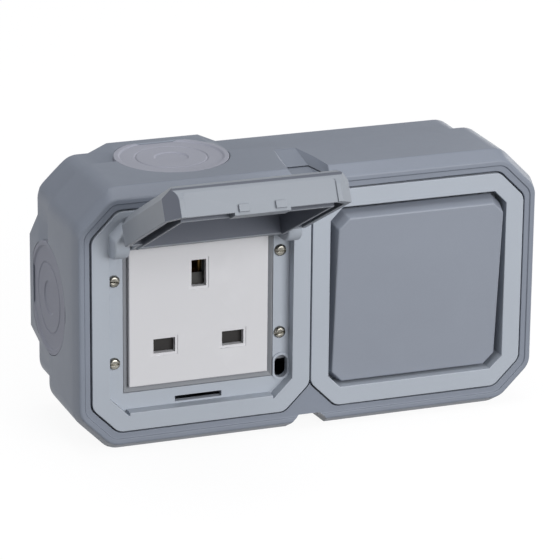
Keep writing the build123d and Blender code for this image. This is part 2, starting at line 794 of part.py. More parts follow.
# Lid, drawn where it stands open: x across, y from the free end back to the hinge, z out of its face
rise_cos = cos(radians(lid_rise))
rise_sin = sin(radians(lid_rise))
lid_origin = (socket_x, -hinge_height, hinge_z)
lid_back = (0, rise_cos, -rise_sin)
lid_out = (0, rise_sin, rise_cos)
lid_plane = Plane(origin=lid_origin, x_dir=(1, 0, 0), z_dir=lid_out)
lid_side = Plane(origin=lid_origin, x_dir=lid_back, z_dir=(1, 0, 0))
lid_end = Plane(origin=lid_origin, x_dir=(1, 0, 0), z_dir=lid_back)
lid_top = lid_depth - lid_rim_drop
stop_distance = hinge_height - front_height - lid_stop_clearance


def lid_pan(inset, below):
    """Full-width pan of the lid, with its faces moved in by inset and its open side moved down by below."""
    rim = -lid_rim_drop - below
    top = lid_top - inset
    half = lid_half - inset
    with BuildPart(mode=Mode.PRIVATE) as pan:
        with BuildSketch(lid_side) as outline:
            Polygon((-lid_reach + inset, rim), (-lid_pan_end - inset, rim), (-lid_pan_end - inset, top),
                    (-lid_reach + inset, top), align=None)
            corner = outline.vertices().sort_by(Axis(lid_origin, lid_back)).sort_by(Axis(lid_origin, lid_out))[-2:]
            fillet(corner.sort_by(Axis(lid_origin, lid_back))[-1], lid_pan_round - inset)
        extrude(amount=half, both=True)
        with BuildSketch(lid_end):
            Polygon((-half, -rim), (-half, -top + lid_bevel_down), (-half + lid_bevel_in, -top),
                    (half - lid_bevel_in, -top), (half, -top + lid_bevel_down), (half, -rim), align=None)
        extrude(amount=2 * lid_reach, both=True, mode=Mode.INTERSECT)
        with BuildSketch(lid_plane):
            Polygon((-half, 0), (-half, -lid_reach + inset + lid_corner), (-half + lid_corner, -lid_reach + inset),
                    (half - lid_corner, -lid_reach + inset), (half, -lid_reach + inset + lid_corner), (half, 0),
                    align=None)
        extrude(amount=2 * lid_depth, both=True, mode=Mode.INTERSECT)
    return pan.part


with BuildPart() as socket_lid:
    add(lid_pan(0, 0))
    with BuildSketch(lid_side):
        Polygon((-lid_pan_end - lid_wall, -lid_rim_drop), (-lid_knuckle / 2, -lid_rim_drop), (0, -lid_knuckle),
                (stop_distance / rise_cos, 0), ((stop_distance - rise_sin * lid_top) / rise_cos, lid_top),
                (-lid_pan_end - lid_wall, lid_top), align=None)
        Circle(lid_knuckle)
    extrude(amount=lid_neck_half, both=True)
    add(lid_pan(lid_wall, lid_wall), mode=Mode.SUBTRACT)
    with BuildSketch(lid_side):
        Polygon((-lid_pan_end - 3 * lid_wall, -2 * lid_rim_drop), (-lid_bar, -2 * lid_rim_drop),
                (-lid_bar, lid_top - lid_wall), (-lid_pan_end - 3 * lid_wall, lid_top - lid_wall), align=None)
    extrude(amount=lid_neck_half - lid_wall, both=True, mode=Mode.SUBTRACT)
    # rib that closes round the plate
    rib_front = -lid_reach + (lid_half - lid_rib_half)
    with BuildSketch(lid_plane.offset(-lid_rim_drop - lid_rib_proud)):
        Polygon((-lid_rib_half, -lid_bar), (-lid_rib_half, rib_front), (lid_rib_half, rib_front),
                (lid_rib_half, -lid_bar), align=None)
        Polygon((-lid_rib_half + lid_rib, -lid_bar), (-lid_rib_half + lid_rib, rib_front + lid_rib),
                (lid_rib_half - lid_rib, rib_front + lid_rib), (lid_rib_half - lid_rib, -lid_bar), align=None,
                mode=Mode.SUBTRACT)
    extrude(amount=lid_depth - lid_wall + lid_rib_proud)
    # latch: a block between the wall and the rib
    with BuildSketch(lid_side):
        Polygon((-lid_reach + latch_block_setback, -lid_rim_drop - latch_block_drop),
                (rib_front + lid_rib, -lid_rim_drop - latch_block_drop),
                (rib_front + lid_rib, -lid_rim_drop + lid_seal_lift - lid_seal_gap),
                (-lid_reach + latch_block_setback, -lid_rim_drop + lid_seal_lift - lid_seal_gap), align=None)
    extrude(amount=latch_block_half, both=True)
    # end wall: sunken panel with two clip lugs
    with BuildSketch(lid_end.offset(-lid_reach)):
        Polygon((-lid_half + lid_corner + lid_panel_border, 2 * lid_rim_drop),
                (-lid_half + lid_corner + lid_panel_border, -lid_top + lid_bevel_down),
                (-lid_half + lid_bevel_in + lid_corner + lid_panel_border / 2, -lid_top + lid_panel_border),
                (lid_half - lid_bevel_in - lid_corner - lid_panel_border / 2, -lid_top + lid_panel_border),
                (lid_half - lid_corner - lid_panel_border, -lid_top + lid_bevel_down),
                (lid_half - lid_corner - lid_panel_border, 2 * lid_rim_drop), align=None)
    extrude(amount=lid_panel_depth, mode=Mode.SUBTRACT)
    with BuildSketch(lid_end.offset(-lid_reach + lid_panel_depth)):
        with Locations((-clip_lug_x, lid_rim_drop), (clip_lug_x, lid_rim_drop)):
            RectangleRounded(clip_lug_width, 2 * clip_lug_height, clip_lug_round)
        with Locations((0, lid_rim_drop)):
            Rectangle(2 * latch_block_half, 2 * clip_lug_height, align=(Align.CENTER, Align.MAX),
                      mode=Mode.INTERSECT)
    extrude(amount=-clip_lug_depth)
    # bores of the hinge
    for side in (-1, 1):
        with BuildSketch(lid_side.offset(side * (pin_inner - pin_press))):
            Circle(pin_radius + pin_clearance)
        extrude(amount=side * lid_neck_half, mode=Mode.SUBTRACT)
save(socket_lid.part, "socket_lid")

# Lid seal: a cord of rubber in the groove between the rib and the walls
with BuildPart() as lid_seal:
    seal_out = lid_half - lid_wall - lid_seal_gap
    seal_in = lid_rib_half + lid_seal_gap
    seal_front = -lid_reach + lid_wall + lid_seal_gap
    with BuildSketch(lid_plane.offset(-lid_rim_drop + lid_seal_lift)):
        Polygon((-seal_out, -lid_pan_end - lid_wall - lid_seal_gap), (-seal_out, seal_front + lid_corner),
                (-seal_out + lid_corner, seal_front), (seal_out - lid_corner, seal_front),
                (seal_out, seal_front + lid_corner), (seal_out, -lid_pan_end - lid_wall - lid_seal_gap),
                (seal_in, -lid_pan_end - lid_wall - lid_seal_gap), (seal_in, rib_front - lid_seal_gap),
                (-seal_in, rib_front - lid_seal_gap), (-seal_in, -lid_pan_end - lid_wall - lid_seal_gap),
                align=None)
    extrude(amount=lid_depth - lid_bevel_down - lid_wall - lid_seal_lift)
save(lid_seal.part, "lid_seal")

# Hinge pins, one in each shoulder
with BuildPart() as hinge_pins:
    for side in (-1, 1):
        with BuildSketch(side_view.offset(side * pin_inner)):
            with Locations((hinge_height, hinge_z)):
                Circle(pin_radius)
        extrude(amount=side * (pin_outer - pin_inner))
save(hinge_pins.part, "hinge_pins")

# Switch carrier: flange under the frame's floor, with ears that hold the rocker's trunnions
with BuildPart() as switch_carrier:
    with BuildSketch(level(switch_post_top)):
        with Locations((switch_x, 0)):
            Rectangle(2 * switch_carrier_half, 2 * switch_carrier_half)
            Rectangle(2 * ear_outer, 2 * switch_carrier_opening, mode=Mode.SUBTRACT)
        with Locations(*[(switch_x + x, z) for x, z in switch_screws]):
            Circle(screw_radius + screw_clearance, mode=Mode.SUBTRACT)
    extrude(amount=switch_carrier_flange)
    with BuildSketch(level(pivot_height - ear_drop)):
        for side in (-1, 1):
            with Locations((switch_x + side * (ear_inner + ear_outer) / 2, 0)):
                Rectangle(ear_outer - ear_inner, 2 * ear_half_z)
    extrude(amount=ear_rise + ear_drop)
    with BuildSketch(level(switch_post_top)):
        for side in (-1, 1):
            with Locations((switch_x + side * (ear_outer + ear_inner) / 2, 0)):
                Rectangle(ear_outer - ear_inner, 2 * switch_carrier_opening)
    extrude(amount=switch_carrier_flange)
    with BuildSketch(Plane(origin=(switch_x, -pivot_height, 0), x_dir=(0, -1, 0), z_dir=(-1, 0, 0))):
        Circle(trunnion_radius + trunnion_clearance)
    extrude(amount=ear_outer, both=True, mode=Mode.SUBTRACT)
save(switch_carrier.part, "switch_carrier")

# Rocker, drawn where it rests with its upper edge out: its planes turn with it about the pivot
tilt_cos = cos(radians(rocker_tilt))
tilt_sin = sin(radians(rocker_tilt))
pivot = (switch_x, -pivot_height, 0)
rocker_plane = Plane(origin=pivot, x_dir=(1, 0, 0), z_dir=(0, -tilt_cos, -tilt_sin))
rocker_side = Plane(origin=pivot, x_dir=(0, -tilt_cos, -tilt_sin), z_dir=(-1, 0, 0))

with BuildPart() as rocker_cap:
    with BuildSketch(rocker_plane.offset(rocker_face_height - rocker_depth)):
        add(cut_corner_shape(rocker_base_half, rocker_base_half, rocker_corner))
    with BuildSketch(rocker_plane.offset(rocker_face_height)):
        add(cut_corner_shape(rocker_face_half, rocker_face_half, rocker_corner * rocker_face_half / rocker_base_half))
    loft(ruled=True)
    with BuildSketch(rocker_plane.offset(rocker_face_height - rocker_depth)):
        add(cut_corner_shape(rocker_base_half - rocker_wall, rocker_base_half - rocker_wall, rocker_corner))
    with BuildSketch(rocker_plane.offset(rocker_face_height - rocker_wall)):
        add(cut_corner_shape(rocker_face_half - rocker_wall, rocker_face_half - rocker_wall, rocker_corner))
    loft(ruled=True, mode=Mode.SUBTRACT)
    with BuildSketch(rocker_plane.offset(cradle_front)):
        with GridLocations(2 * rocker_post_x, 2 * rocker_post_z, 2, 2):
            Rectangle(2 * rocker_post_half, 2 * rocker_post_half)
    extrude(amount=rocker_face_height - rocker_wall / 2 - cradle_front)
save(rocker_cap.part, "rocker_cap")

# Rocker cradle: plate under the cap, cheeks with trunnions, and the tube of the plunger
with BuildPart() as rocker_cradle:
    with BuildSketch(rocker_plane.offset(cradle_front)):
        Rectangle(2 * cradle_half_x, 2 * cradle_half_z)
    extrude(amount=-cradle_thickness)
    for side in (-1, 1):
        with BuildSketch(rocker_side.offset(side * (cradle_half_x - cradle_cheek / 2))):
            Circle(cradle_cheek_radius)
            Rectangle(cradle_front - cradle_thickness / 2, 2 * cradle_cheek_radius, align=(Align.MIN, Align.CENTER))
        extrude(amount=cradle_cheek / 2, both=True)
        with BuildSketch(rocker_side.offset(side * cradle_half_x)):
            Circle(trunnion_radius)
        extrude(amount=side * (trunnion_outer - cradle_half_x))
    with BuildSketch(rocker_plane.offset(cradle_front - cradle_thickness / 2)):
        Circle(plunger_tube_radius)
    extrude(amount=-(plunger_tube_length + cradle_front - cradle_thickness / 2))
    with BuildSketch(rocker_plane.offset(-plunger_tube_length)):
        Circle(plunger_bore)
    extrude(amount=plunger_bore_length, mode=Mode.SUBTRACT)
save(rocker_cradle.part, "rocker_cradle")

# Plunger with a bevelled tip, and its spring
with BuildPart() as plunger:
    with BuildSketch(rocker_plane.offset(-plunger_tip)):
        Circle(plunger_radius)
    extrude(amount=plunger_length)
    chamfer(plunger.edges().sort_by(Axis(pivot, rocker_plane.z_dir))[0], plunger_tip_bevel)
save(plunger.part, "plunger")

spring_seat = -plunger_tip + plunger_length + plunger_spring_wire + spring_end_gap / 2
spring_room = plunger_bore_length - plunger_tube_length - spring_seat - plunger_spring_wire - spring_end_gap / 2
save(coil_spring(rocker_plane.from_local_coords(Vector(0, 0, spring_seat)), rocker_plane.z_dir,
                 plunger_spring_radius, plunger_spring_wire, plunger_spring_turns, spring_room),
     "plunger_spring")

# See-saw contact, tilted the other way by the plunger, on a roll that sits in the common contact
seesaw_tilt = rocker_tilt * seesaw_ratio
seesaw_plane = Plane(origin=(switch_x, -seesaw_height, 0), x_dir=(1, 0, 0),
                     z_dir=(0, -cos(radians(seesaw_tilt)), sin(radians(seesaw_tilt))))
roll_side = Plane(origin=(switch_x, -seesaw_height, 0), x_dir=(0, -1, 0), z_dir=(-1, 0, 0))

with BuildPart() as contact_rocker:
    with BuildSketch(seesaw_plane):
        Rectangle(seesaw_width, 2 * seesaw_half_length)
    extrude(amount=seesaw_thickness)
    with BuildSketch(roll_side):
        Circle(seesaw_roll)
    extrude(amount=seesaw_width / 2, both=True)
    with BuildSketch(seesaw_plane):
        with Locations((0, -tip_offset), (0, tip_offset)):
            Circle(tip_radius)
    extrude(amount=-tip_thickness)
save(contact_rocker.part, "contact_rocker")

# Common contact: a cradle under the roll; fixed contacts: a tip under each end of the see-saw
tip_swing = tip_offset * sin(radians(seesaw_tilt))
fixed_tip_height = seesaw_height - tip_swing - tip_thickness - contact_gap - tip_radius * sin(radians(seesaw_tilt))
contact_foot = switch_base_back + switch_base_wall

with BuildPart() as common_contact:
    with BuildSketch(level(contact_foot)):
        with Locations((switch_x, 0)):
            Rectangle(seesaw_width, 2 * saddle_half)
    extrude(amount=seesaw_height - seesaw_clearance - contact_foot)
    with BuildSketch(roll_side):
        Circle(seesaw_roll + seesaw_clearance)
    extrude(amount=seesaw_width, both=True, mode=Mode.SUBTRACT)
    with BuildSketch(roll_side):
        Polygon((0, -saddle_half), (-saddle_half * sin(radians(2 * seesaw_tilt)), -saddle_half),
                (0, 0), (-saddle_half * sin(radians(2 * seesaw_tilt)), saddle_half), (0, saddle_half),
                (seesaw_roll, 0), align=None)
    extrude(amount=seesaw_width, both=True, mode=Mode.SUBTRACT)
    with BuildSketch(level(contact_foot)):
        with Locations((switch_x, 0)):
            Circle(terminal_screw_radius + pilot_clearance)
    extrude(amount=terminal_screw_length, mode=Mode.SUBTRACT)
save(common_contact.part, "common_contact")


def fixed_contact(side):
    with BuildPart() as contact:
        with BuildSketch(level(contact_foot)):
            with Locations((switch_x, side * tip_offset)):
                Rectangle(seesaw_width, 2 * tip_radius)
        extrude(amount=fixed_tip_height - tip_thickness - contact_foot)
        with BuildSketch(level(fixed_tip_height - tip_thickness)):
            with Locations((switch_x, side * tip_offset)):
                Circle(tip_radius)
        extrude(amount=tip_thickness)
        with BuildSketch(level(contact_foot)):
            with Locations((switch_x, side * tip_offset)):
                Circle(terminal_screw_radius + pilot_clearance)
        extrude(amount=terminal_screw_length, mode=Mode.SUBTRACT)
    return contact.part


save(fixed_contact(1), "upper_fixed_contact")
save(fixed_contact(-1), "lower_fixed_contact")

# Switch base: an open tray that holds the three contacts and closes against the carrier
terminal_z = (-tip_offset, 0, tip_offset)

with BuildPart() as switch_base:
    with BuildSketch(level(switch_base_back)):
        with Locations((switch_x, 0)):
            Rectangle(2 * switch_base_half, 2 * switch_base_half)
    extrude(amount=switch_post_top - switch_base_back)
    with BuildSketch(level(contact_foot)):
        with Locations((switch_x, 0)):
            Rectangle(2 * (switch_base_half - switch_base_wall), 2 * (switch_base_half - switch_base_wall))
    extrude(amount=front_height, mode=Mode.SUBTRACT)
    with BuildSketch(level(switch_base_back)):
        with Locations(*[(switch_x, z) for z in terminal_z]):
            Circle(terminal_screw_radius + pilot_clearance)
    extrude(amount=switch_base_wall, mode=Mode.SUBTRACT)
    with BuildSketch(level(switch_base_back)):
        for x in (-1, 1):
            for z in (-1, 1):
                with Locations((switch_x + x * switch_screw_offset, z * switch_screw_offset)):
                    Circle(post_radius + screw_clearance)
    extrude(amount=front_height, mode=Mode.SUBTRACT)
save(switch_base.part, "switch_base")

save(terminal_screws([(switch_x, z) for z in terminal_z], switch_base_back), "switch_terminal_screws")
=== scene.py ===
# %% [markdown]
# # A weatherproof box with a lidded socket and a rocker switch
# This notebook dresses a finished assembly for its picture. The assembly already has its true sizes,
# so nothing here is moved or scaled. What is added is what a camera sees: the small radius that a
# mould leaves on every edge, the grain of the plastic, the turned heads of the screws, the soft
# membranes of the cable entries, and the studio around them.

# %% The frame
import json
from math import cos, pi, radians, sin

import bmesh
import bpy
from mathutils import Matrix, Vector

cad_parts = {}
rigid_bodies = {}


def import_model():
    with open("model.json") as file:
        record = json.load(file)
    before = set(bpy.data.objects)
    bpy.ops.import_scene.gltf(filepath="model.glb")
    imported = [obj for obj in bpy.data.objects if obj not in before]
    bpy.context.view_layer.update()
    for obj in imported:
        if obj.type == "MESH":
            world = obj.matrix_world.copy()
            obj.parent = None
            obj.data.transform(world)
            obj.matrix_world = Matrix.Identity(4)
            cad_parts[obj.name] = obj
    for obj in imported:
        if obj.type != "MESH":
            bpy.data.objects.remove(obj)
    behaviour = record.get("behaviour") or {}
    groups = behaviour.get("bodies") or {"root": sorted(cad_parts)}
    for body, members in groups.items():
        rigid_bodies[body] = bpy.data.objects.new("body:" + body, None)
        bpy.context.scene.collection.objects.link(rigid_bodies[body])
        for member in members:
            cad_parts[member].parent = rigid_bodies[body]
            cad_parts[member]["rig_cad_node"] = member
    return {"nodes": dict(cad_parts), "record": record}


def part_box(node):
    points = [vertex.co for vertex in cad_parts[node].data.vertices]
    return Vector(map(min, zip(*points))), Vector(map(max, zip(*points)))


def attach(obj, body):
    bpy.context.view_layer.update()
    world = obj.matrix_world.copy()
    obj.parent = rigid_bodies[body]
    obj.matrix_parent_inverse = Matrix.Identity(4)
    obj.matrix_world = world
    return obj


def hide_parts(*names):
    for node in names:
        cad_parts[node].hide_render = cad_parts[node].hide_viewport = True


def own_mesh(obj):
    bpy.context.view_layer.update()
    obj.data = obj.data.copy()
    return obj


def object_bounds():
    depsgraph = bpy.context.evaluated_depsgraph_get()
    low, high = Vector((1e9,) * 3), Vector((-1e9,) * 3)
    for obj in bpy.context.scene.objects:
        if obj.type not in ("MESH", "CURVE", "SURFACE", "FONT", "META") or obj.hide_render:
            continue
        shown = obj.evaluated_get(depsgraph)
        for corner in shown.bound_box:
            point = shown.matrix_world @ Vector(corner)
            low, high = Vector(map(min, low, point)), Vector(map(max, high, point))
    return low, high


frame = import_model()
cad_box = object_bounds()
MM = 0.001
bodies = frame["record"]["behaviour"]["bodies"]
body_of_node = {node: body for body, nodes in bodies.items() for node in nodes}
print("pieces in the assembly:", len(frame["nodes"]))
print("box of the assembly in mm:", [round(value / MM, 1) for corner in cad_box for value in corner])

# %% [markdown]
# ## Small tools
# Blender's operators act on whatever is selected and active. Two short helpers make that explicit,
# so that every later cell starts from a known state.

# %% Selection helpers


def select_only(piece):
    """Leaves one object selected and active, in object mode."""
    bpy.ops.object.select_all(action="DESELECT")
    piece.select_set(True)
    bpy.context.view_layer.objects.active = piece


def edit(piece, everything=True):
    """Opens one object in edit mode, with all of its mesh selected, or none of it."""
    select_only(piece)
    bpy.ops.object.mode_set(mode="EDIT")
    bpy.ops.mesh.select_all(action="SELECT" if everything else "DESELECT")


def leave_edit():
    """Goes back to object mode."""
    bpy.ops.object.mode_set(mode="OBJECT")


# %% [markdown]
# ## Grain, tone and rubbed edges as node groups
# One mould shop made all of the grey pieces, so they share three effects at different strengths. Each
# effect is a node group: a fine spark-eroded grain, a slow drift of tone where the melt flowed, and a
# slight lightening along edges that hands and packing have rubbed. A group keeps the recipe in one
# place, and its inputs keep every material different.

# %% Node group helpers


def new_group(name, inputs, outputs):
    """Shader node group with named inputs (name, kind, value) and outputs (name, kind)."""
    group = bpy.data.node_groups.new(name, "ShaderNodeTree")
    for label, kind, value in inputs:
        socket = group.interface.new_socket(name=label, in_out="INPUT", socket_type=kind)
        socket.default_value = value
    for label, kind in outputs:
        group.interface.new_socket(name=label, in_out="OUTPUT", socket_type=kind)
    return group, group.nodes.new("NodeGroupInput"), group.nodes.new("NodeGroupOutput")


def add_node(tree, kind, **settings):
    """Adds a node and sets its properties. sockets gives values for its inputs, by label or number."""
    node = tree.nodes.new(kind)
    for key, value in settings.items():
        if key == "sockets":
            for label, socket_value in value.items():
                node.inputs[label].default_value = socket_value
        else:
            setattr(node, key, value)
    return node


# %% Group: moulded grain
FLOAT, COLOUR = "NodeSocketFloat", "NodeSocketColor"


def moulded_grain_group():
    """Height of a fine spark-eroded grain, and the unevenness that it gives the gloss."""
    group, start, end = new_group(
        "moulded grain",
        [("Grains per metre", FLOAT, 2600.0), ("Softness", FLOAT, 0.5), ("Gloss change", FLOAT, 0.06),
         ("Roughness", FLOAT, 0.45)],
        [("Height", FLOAT), ("Roughness", FLOAT)])
    place = add_node(group, "ShaderNodeTexCoord")
    fine = add_node(group, "ShaderNodeTexNoise", sockets={"Detail": 2.0, "Roughness": 0.6})
    group.links.new(place.outputs["Object"], fine.inputs["Vector"])
    group.links.new(start.outputs["Grains per metre"], fine.inputs["Scale"])
    coarse_scale = add_node(group, "ShaderNodeMath", operation="MULTIPLY", sockets={1: 0.12})
    group.links.new(start.outputs["Grains per metre"], coarse_scale.inputs[0])
    coarse = add_node(group, "ShaderNodeTexNoise", sockets={"Detail": 3.0, "Roughness": 0.55})
    group.links.new(place.outputs["Object"], coarse.inputs["Vector"])
    group.links.new(coarse_scale.outputs[0], coarse.inputs["Scale"])
    blend = add_node(group, "ShaderNodeMix", data_type="FLOAT")
    group.links.new(start.outputs["Softness"], blend.inputs[0])
    group.links.new(fine.outputs["Fac"], blend.inputs[2])
    group.links.new(coarse.outputs["Fac"], blend.inputs[3])
    group.links.new(blend.outputs[0], end.inputs["Height"])
    centred = add_node(group, "ShaderNodeMath", operation="SUBTRACT", sockets={1: 0.5})
    group.links.new(coarse.outputs["Fac"], centred.inputs[0])
    change = add_node(group, "ShaderNodeMath", operation="MULTIPLY_ADD")
    group.links.new(centred.outputs[0], change.inputs[0])
    group.links.new(start.outputs["Gloss change"], change.inputs[1])
    group.links.new(start.outputs["Roughness"], change.inputs[2])
    group.links.new(change.outputs[0], end.inputs["Roughness"])
    return group


# %% Group: drift of tone


def tone_drift_group():
    """A colour that drifts slowly between a darker and a lighter tone of itself, with a faint speckle."""
    group, start, end = new_group(
        "tone drift",
        [("Dark tone", COLOUR, (0.2, 0.2, 0.2, 1)), ("Light tone", COLOUR, (0.3, 0.3, 0.3, 1)),
         ("Patches per metre", FLOAT, 26.0), ("Speckle", FLOAT, 0.25)],
        [("Colour", COLOUR)])
    place = add_node(group, "ShaderNodeTexCoord")
    drift = add_node(group, "ShaderNodeTexNoise",
                     sockets={"Detail": 3.0, "Roughness": 0.5, "Distortion": 0.6})
    group.links.new(place.outputs["Object"], drift.inputs["Vector"])
    group.links.new(start.outputs["Patches per metre"], drift.inputs["Scale"])
    speckle = add_node(group, "ShaderNodeTexNoise", sockets={"Scale": 1900.0, "Detail": 1.0})
    group.links.new(place.outputs["Object"], speckle.inputs["Vector"])
    both = add_node(group, "ShaderNodeMix", data_type="FLOAT")
    group.links.new(start.outputs["Speckle"], both.inputs[0])
    group.links.new(drift.outputs["Fac"], both.inputs[2])
    group.links.new(speckle.outputs["Fac"], both.inputs[3])
    spread = add_node(group, "ShaderNodeMapRange", sockets={"From Min": 0.32, "From Max": 0.68})
    group.links.new(both.outputs[0], spread.inputs["Value"])
    mix = add_node(group, "ShaderNodeMix", data_type="RGBA")
    group.links.new(spread.outputs["Result"], mix.inputs[0])
    group.links.new(start.outputs["Dark tone"], mix.inputs[6])
    group.links.new(start.outputs["Light tone"], mix.inputs[7])
    group.links.new(mix.outputs[2], end.inputs["Colour"])
    return group


# %% Group: rubbed edges


def rubbed_edge_group():
    """A colour that turns paler along the sharpest edges of a mesh, in broken lengths."""
    group, start, end = new_group(
        "rubbed edge",
        [("Colour", COLOUR, (0.3, 0.3, 0.3, 1)), ("Rubbed colour", COLOUR, (0.5, 0.5, 0.5, 1)),
         ("Strength", FLOAT, 0.4)],
        [("Colour", COLOUR)])
    shape = add_node(group, "ShaderNodeNewGeometry")
    edge = add_node(group, "ShaderNodeMapRange", sockets={"From Min": 0.52, "From Max": 0.66})
    group.links.new(shape.outputs["Pointiness"], edge.inputs["Value"])
    place = add_node(group, "ShaderNodeTexCoord")
    breaks = add_node(group, "ShaderNodeTexNoise",
                      sockets={"Scale": 140.0, "Detail": 4.0, "Roughness": 0.65})
    group.links.new(place.outputs["Object"], breaks.inputs["Vector"])
    worn = add_node(group, "ShaderNodeMapRange", sockets={"From Min": 0.4, "From Max": 0.7})
    group.links.new(breaks.outputs["Fac"], worn.inputs["Value"])
    both = add_node(group, "ShaderNodeMath", operation="MULTIPLY")
    group.links.new(edge.outputs["Result"], both.inputs[0])
    group.links.new(worn.outputs["Result"], both.inputs[1])
    amount = add_node(group, "ShaderNodeMath", operation="MULTIPLY", use_clamp=True)
    group.links.new(both.outputs[0], amount.inputs[0])
    group.links.new(start.outputs["Strength"], amount.inputs[1])
    mix = add_node(group, "ShaderNodeMix", data_type="RGBA")
    group.links.new(amount.outputs[0], mix.inputs[0])
    group.links.new(start.outputs["Colour"], mix.inputs[6])
    group.links.new(start.outputs["Rubbed colour"], mix.inputs[7])
    group.links.new(mix.outputs[2], end.inputs["Colour"])
    return group


moulded_grain = moulded_grain_group()
tone_drift = tone_drift_group()
rubbed_edge = rubbed_edge_group()
print("shared effects:", [group.name for group in bpy.data.node_groups])

# %% [markdown]
# ## One recipe for every moulded plastic
# Injection-moulded plastic is a Principled surface with no metal. What tells one moulding from another
# is its colour, its gloss and how coarse the grain is, so those are the arguments.

# %% Moulded plastic


def shade(colour, factor):
    """The same colour, darker or lighter by a factor."""
    return tuple(channel * factor for channel in colour) + (1.0,)


def moulded_plastic(name, colour, roughness, grain=2600.0, grain_height=0.02, drift=0.05, rubbed=0.25,
                    specular=0.4):
    """Grained plastic in one colour. grain_height is in millimetres, drift is the share of tone change."""
    material = bpy.data.materials.new(name)
    material.use_nodes = True
    tree = material.node_tree
    surface = tree.nodes["Principled BSDF"]
    surface.inputs["Specular IOR Level"].default_value = specular
    tone = add_node(tree, "ShaderNodeGroup", node_tree=tone_drift)
    tone.inputs["Dark tone"].default_value = shade(colour, 1 - drift)
    tone.inputs["Light tone"].default_value = shade(colour, 1 + drift)
    edge = add_node(tree, "ShaderNodeGroup", node_tree=rubbed_edge)
    edge.inputs["Rubbed colour"].default_value = shade(colour, 1.35)
    edge.inputs["Strength"].default_value = rubbed
    tree.links.new(tone.outputs["Colour"], edge.inputs["Colour"])
    tree.links.new(edge.outputs["Colour"], surface.inputs["Base Color"])
    texture = add_node(tree, "ShaderNodeGroup", node_tree=moulded_grain)
    texture.inputs["Grains per metre"].default_value = grain
    texture.inputs["Roughness"].default_value = roughness
    tree.links.new(texture.outputs["Roughness"], surface.inputs["Roughness"])
    bump = add_node(tree, "ShaderNodeBump", sockets={"Strength": 0.6, "Distance": grain_height * MM})
    tree.links.new(texture.outputs["Height"], bump.inputs["Height"])
    tree.links.new(bump.outputs["Normal"], surface.inputs["Normal"])
    return material


box_grey = (0.215, 0.240, 0.292)
frame_grey = (0.405, 0.442, 0.498)
rocker_grey = (0.262, 0.287, 0.340)
carrier_grey = (0.205, 0.225, 0.262)
plate_white = (0.66, 0.66, 0.685)
inside_grey = (0.075, 0.080, 0.092)
shutter_grey = (0.020, 0.0185, 0.018)
# The lid is moulded in the frame's plastic. Its grey here is the frame's grey made darker: painted shade for
# the lesser light on the lid.
lid_painted_shade_grey = (0.266, 0.290, 0.328)
# The pan inside the lid is darker still: painted shade for the shade that falls inside the lid.
lid_pan_painted_shade_grey = (0.122, 0.134, 0.166)
border_grey = (0.250, 0.262, 0.285)

box_plastic = moulded_plastic("box plastic", box_grey, 0.46, drift=0.035)
frame_plastic = moulded_plastic("frame plastic", frame_grey, 0.44, drift=0.025)
rocker_plastic = moulded_plastic("rocker plastic", rocker_grey, 0.42, drift=0.03)
carrier_plastic = moulded_plastic("carrier plastic", carrier_grey, 0.5, drift=0.03)
plate_plastic = moulded_plastic("plate plastic", plate_white, 0.30, grain=1500.0, grain_height=0.004,
                                drift=0.008, rubbed=0.1, specular=0.45)
inside_plastic = moulded_plastic("inside plastic", inside_grey, 0.42, drift=0.05)
border_plastic = moulded_plastic("border plastic", border_grey, 0.46, drift=0.025)
lid_painted_shade_plastic = moulded_plastic("lid plastic with painted shade", lid_painted_shade_grey, 0.44, drift=0.025)
lid_pan_painted_shade_plastic = moulded_plastic("lid pan plastic with painted shade", lid_pan_painted_shade_grey, 0.36, drift=0.025)
shutter_plastic = moulded_plastic("shutter plastic", shutter_grey, 0.5, drift=0.05, specular=0.25)
print("moulded plastics:", [material.name for material in bpy.data.materials])

# %% [markdown]
# ## Rubber, brass and steel
# The membranes are a soft violet-grey rubber: rougher, with a coarser mottle and almost no shine. The
# screws are plated brass, so they are metal with fine turning marks. Contacts are bare brass strip.

# %% Rubber


def rubber(name, colour, roughness, sheen):
    """Soft rubber: a mottled tone, a coarse dull grain and a slight bloom at grazing angles."""
    material = moulded_plastic(name, colour, roughness, grain=1500.0, grain_height=0.03, drift=0.06,
                               rubbed=0.12, specular=0.28)
    surface = material.node_tree.nodes["Principled BSDF"]
    surface.inputs["Sheen Weight"].default_value = sheen
    surface.inputs["Sheen Roughness"].default_value = 0.55
    return material


entry_rubber = rubber("entry rubber", (0.315, 0.325, 0.385), 0.62, 0.06)
seal_rubber = rubber("seal rubber", (0.035, 0.037, 0.045), 0.7, 0.03)
print("rubbers:", [material.name for material in (entry_rubber, seal_rubber)])

# %% Metals
TARNISH_PATCHES = 420.0


def plated_metal(name, colour, stain, roughness, marks):
    """Metal with fine turning marks and a tarnish that gathers in patches."""
    material = bpy.data.materials.new(name)
    material.use_nodes = True
    tree = material.node_tree
    surface = tree.nodes["Principled BSDF"]
    surface.inputs["Metallic"].default_value = 1.0
    tone = add_node(tree, "ShaderNodeGroup", node_tree=tone_drift)
    tone.inputs["Dark tone"].default_value = stain + (1.0,)
    tone.inputs["Light tone"].default_value = colour + (1.0,)
    tone.inputs["Patches per metre"].default_value = TARNISH_PATCHES
    tree.links.new(tone.outputs["Colour"], surface.inputs["Base Color"])
    texture = add_node(tree, "ShaderNodeGroup", node_tree=moulded_grain)
    texture.inputs["Grains per metre"].default_value = marks
    texture.inputs["Roughness"].default_value = roughness
    texture.inputs["Gloss change"].default_value = 0.25
    tree.links.new(texture.outputs["Roughness"], surface.inputs["Roughness"])
    bump = add_node(tree, "ShaderNodeBump", sockets={"Strength": 0.4, "Distance": 0.01 * MM})
    tree.links.new(texture.outputs["Height"], bump.inputs["Height"])
    tree.links.new(bump.outputs["Normal"], surface.inputs["Normal"])
    return material


